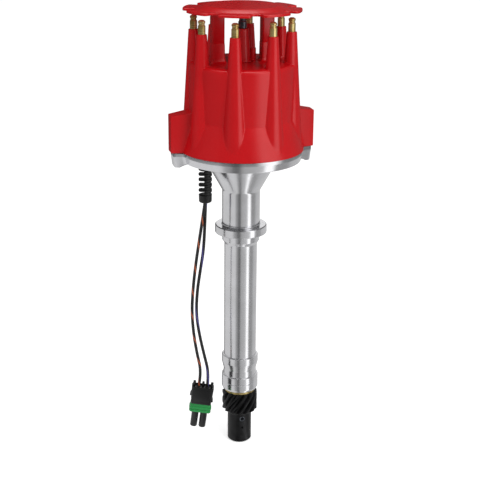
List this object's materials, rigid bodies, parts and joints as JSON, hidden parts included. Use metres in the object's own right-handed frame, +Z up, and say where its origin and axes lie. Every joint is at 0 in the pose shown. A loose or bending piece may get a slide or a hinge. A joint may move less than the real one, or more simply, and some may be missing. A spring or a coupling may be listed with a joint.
{
  "type": "ignition distributor",
  "caption": "Engine ignition distributor: turned housing with a helical drive gear, moulded plug cap, wire retainer and a two-wire pickup lead.",
  "frame": {"origin": "on the shaft's axis, in the plane of the mounting collar's underside", "axes": "+Z up along the shaft to the cap's towers, X through the cap's two hold-down ears, the lead hangs on the -X side"},
  "size_m": [0.1206, 0.105, 0.3931],
  "materials": {
    "aluminium_turned": "turned and lightly polished aluminium",
    "red_moulding": "satin red glass-filled polyester moulding",
    "brass": "drawn brass, slightly dull",
    "steel_bright": "ground bright steel",
    "steel_dark": "dark steel",
    "gear_black": "black phosphated iron",
    "bronze_sintered": "oiled sintered bronze",
    "rubber_black": "moulded black rubber",
    "wire_black": "black insulation with an orange line",
    "wire_black_violet": "black insulation with a violet line",
    "plastic_black": "moulded black nylon",
    "seal_green": "green silicone seal",
    "carbon": "pressed carbon",
    "magnet_grey": "bare sintered magnet",
    "zinc_yellow": "yellow passivated steel"
  },
  "bodies": {
    "distributor": {"housing": "aluminium_turned", "lower_bushing": "bronze_sintered", "bearing_outer_ring": "steel_bright", "bearing_balls": "steel_bright", "bearing_snap_ring": "steel_dark", "thrust_washers": "brass", "pickup_bracket": "steel_bright", "pickup_pole": "steel_dark", "pickup_coil": "plastic_black", "pickup_magnet": "magnet_grey", "pickup_screws": "steel_dark", "strain_relief": "rubber_black", "lead_wire_orange": "wire_black", "lead_wire_violet": "wire_black_violet", "connector_body": "plastic_black", "connector_seal": "seal_green", "connector_wire_seals": "seal_green", "connector_terminals": "steel_bright", "cap": "red_moulding", "cap_terminals": "brass", "coil_terminal": "steel_dark", "carbon_button": "carbon", "carbon_button_spring": "steel_bright", "wire_retainer": "red_moulding", "cap_screws": "steel_dark"},
    "shaft": {"drive_shaft": "steel_bright", "bearing_inner_ring": "steel_bright", "shaft_collar": "steel_bright", "advance_washer": "brass", "cam_plate": "zinc_yellow", "cam_posts": "steel_bright", "stop_bushing": "brass", "stop_nut": "steel_dark", "drive_gear": "gear_black", "gear_roll_pin": "steel_dark"},
    "advance": {"weight_base_plate": "zinc_yellow", "reluctor": "steel_bright", "reluctor_pin": "steel_dark", "weight_pins": "steel_bright", "advance_spring_a": "steel_bright", "advance_spring_b": "steel_bright", "rotor": "red_moulding", "rotor_blade": "brass", "rotor_contact_spring": "brass", "rotor_screws": "steel_dark"},
    "weight_a": {"weight_a": "zinc_yellow"},
    "weight_b": {"weight_b": "zinc_yellow"}
  },
  "joints": [
    {"name": "shaft_spin", "type": "hinge", "parent": "distributor", "child": "shaft", "pos_m": [0, 0, 0], "axis": [0, 0, -1], "continuous": true},
    {"name": "advance_turn", "type": "hinge", "parent": "shaft", "child": "advance", "pos_m": [0, 0, 0.09], "axis": [0, 0, -1], "range_deg": [0, 12], "stiffness_Nm_per_rad": 0.3, "springref_deg": -2.86, "deforming": ["advance_spring_a", "advance_spring_b"]},
    {"name": "weight_a_swing", "type": "hinge", "parent": "advance", "child": "weight_a", "pos_m": [0.021, 0, 0.0913], "axis": [0, 0, -1], "range_deg": [0, 18]},
    {"name": "weight_b_swing", "type": "hinge", "parent": "advance", "child": "weight_b", "pos_m": [-0.021, 0, 0.0913], "axis": [0, 0, -1], "range_deg": [0, 18]}
  ],
  "couplings": [
    {"joint": "weight_a_swing", "follows": "advance_turn", "ratio": 1.5},
    {"joint": "weight_b_swing", "follows": "advance_turn", "ratio": 1.5}
  ]
}
